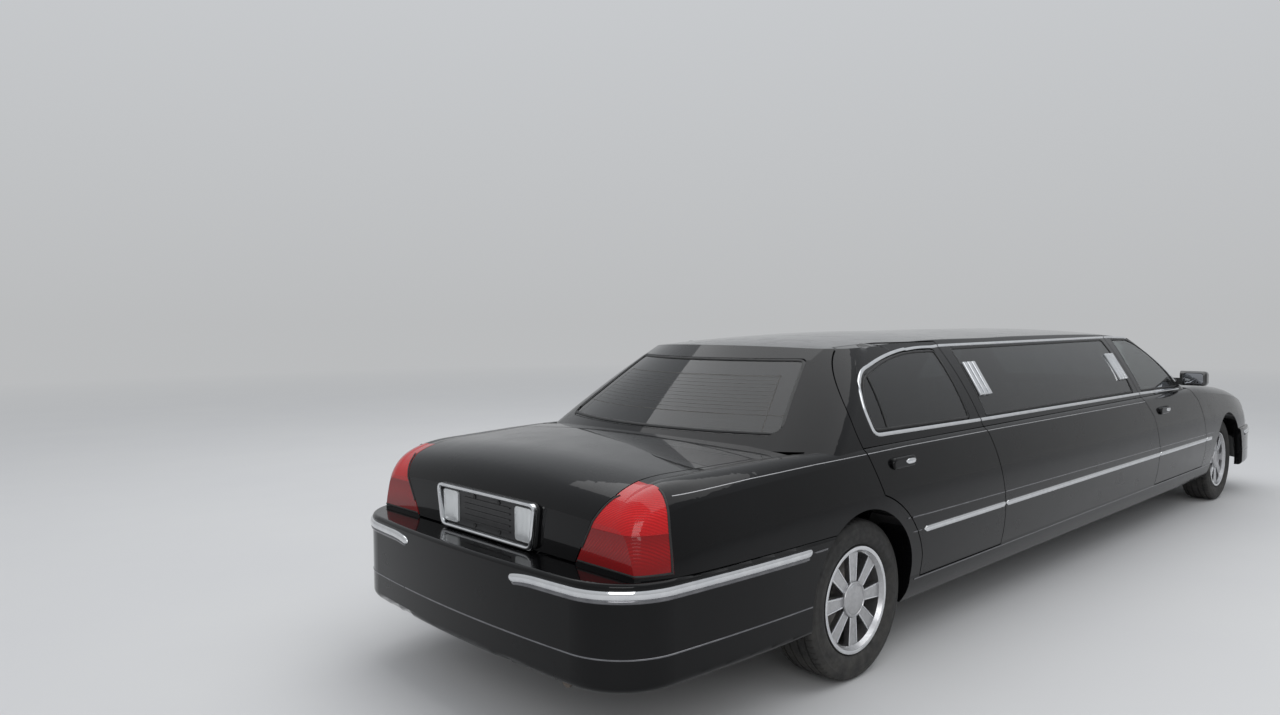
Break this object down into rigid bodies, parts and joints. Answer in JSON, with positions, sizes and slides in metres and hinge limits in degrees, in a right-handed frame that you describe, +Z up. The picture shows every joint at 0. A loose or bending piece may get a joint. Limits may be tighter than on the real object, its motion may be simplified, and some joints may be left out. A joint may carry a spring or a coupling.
{
  "type": "stretch limousine",
  "caption": "Stretched sedan with a long cabin between its doors, tinted windows, wrap-round bumpers, tall tail lamps and spoked alloy wheels.",
  "frame": {"origin": "on the ground, midway between the front and rear bumpers' ends and on the car's centre plane", "axes": "+X forward, +Y to the car's left, +Z up"},
  "size_m": [8.0086, 2.17, 1.4992],
  "materials": {
    "alloy": "machined",
    "cast_grey": "as cast",
    "chrome": "polished",
    "glass_dark": "polished",
    "glass_light": "polished",
    "lamp_clear": "polished",
    "lamp_red": "gloss",
    "leather_dark": "soft grain",
    "mirror_black": "gloss",
    "paint_black": "gloss",
    "pipe_steel": "heat dulled",
    "roof_black": "satin",
    "trim_black": "matt",
    "tyre_black": "matt",
    "underbody_black": "matt"
  },
  "bodies": {
    "body": {"rear_quarters": "paint_black", "stretch_sides": "paint_black", "roof_panel": "roof_black", "front_fenders": "paint_black", "floor_pan": "underbody_black", "chassis_frame": "underbody_black", "crossmembers": "underbody_black", "rear_bumper": "paint_black", "front_bumper": "paint_black", "grille": "chrome", "tail_lamps": "lamp_red", "headlamps": "lamp_clear", "windshield": "glass_light", "rear_window": "glass_dark", "stretch_windows": "glass_dark", "engine_block": "cast_grey", "rear_axle": "cast_grey", "front_suspension": "cast_grey", "exhaust_system": "pipe_steel", "fuel_tank": "trim_black", "dashboard": "trim_black", "front_seats": "leather_dark", "rear_seat": "leather_dark"},
    "hood": {"hood": "paint_black"},
    "decklid": {"decklid": "paint_black", "plate_surround": "chrome"},
    "door_front_right": {"door_front_right": "paint_black", "door_glass_front_right": "glass_light", "door_mirror_right": "mirror_black"},
    "door_rear_right": {"door_rear_right": "paint_black", "door_glass_rear_right": "glass_dark"},
    "door_front_left": {"door_front_left": "paint_black", "door_glass_front_left": "glass_light", "door_mirror_left": "mirror_black"},
    "door_rear_left": {"door_rear_left": "paint_black", "door_glass_rear_left": "glass_dark"},
    "steer_right": {"knuckle_right": "cast_grey"},
    "wheel_front_right": {"rim_front_right": "alloy", "tyre_front_right": "tyre_black"},
    "wheel_rear_right": {"rim_rear_right": "alloy", "tyre_rear_right": "tyre_black"},
    "steer_left": {"knuckle_left": "cast_grey"},
    "wheel_front_left": {"rim_front_left": "alloy", "tyre_front_left": "tyre_black"},
    "wheel_rear_left": {"rim_rear_left": "alloy", "tyre_rear_left": "tyre_black"}
  },
  "joints": [
    {"name": "door_front_right_hinge", "type": "hinge", "parent": "body", "child": "door_front_right", "pos_m": [2.3525, -0.955, 0.64], "axis": [0, 0, 1], "range_deg": [0, 60]},
    {"name": "door_rear_right_hinge", "type": "hinge", "parent": "body", "child": "door_rear_right", "pos_m": [-1.1935, -0.955, 0.64], "axis": [0, 0, 1], "range_deg": [0, 60]},
    {"name": "door_front_left_hinge", "type": "hinge", "parent": "body", "child": "door_front_left", "pos_m": [2.3525, 0.955, 0.64], "axis": [0, 0, -1], "range_deg": [0, 60]},
    {"name": "door_rear_left_hinge", "type": "hinge", "parent": "body", "child": "door_rear_left", "pos_m": [-1.1935, 0.955, 0.64], "axis": [0, 0, -1], "range_deg": [0, 60]},
    {"name": "hood_hinge", "type": "hinge", "parent": "body", "child": "hood", "pos_m": [2.2185, 0, 0.996], "axis": [0, -1, 0], "range_deg": [0, 50]},
    {"name": "decklid_hinge", "type": "hinge", "parent": "body", "child": "decklid", "pos_m": [-2.9755, 0, 1.01], "axis": [0, 1, 0], "range_deg": [0, 70]},
    {"name": "steering_right", "type": "hinge", "parent": "body", "child": "steer_right", "pos_m": [2.9745, -0.69, 0.351], "axis": [0, 0, 1], "range_deg": [-35, 35]},
    {"name": "wheel_front_right_spin", "type": "hinge", "parent": "steer_right", "child": "wheel_front_right", "pos_m": [2.9745, -0.805, 0.351], "axis": [0, 1, 0], "continuous": true},
    {"name": "wheel_rear_right_spin", "type": "hinge", "parent": "body", "child": "wheel_rear_right", "pos_m": [-2.5555, -0.832, 0.351], "axis": [0, 1, 0], "continuous": true},
    {"name": "steering_left", "type": "hinge", "parent": "body", "child": "steer_left", "pos_m": [2.9745, 0.69, 0.351], "axis": [0, 0, 1], "range_deg": [-35, 35]},
    {"name": "wheel_front_left_spin", "type": "hinge", "parent": "steer_left", "child": "wheel_front_left", "pos_m": [2.9745, 0.805, 0.351], "axis": [0, 1, 0], "continuous": true},
    {"name": "wheel_rear_left_spin", "type": "hinge", "parent": "body", "child": "wheel_rear_left", "pos_m": [-2.5555, 0.832, 0.351], "axis": [0, 1, 0], "continuous": true}
  ],
  "couplings": [
    {"joint": "steering_left", "follows": "steering_right", "ratio": 1}
  ]
}
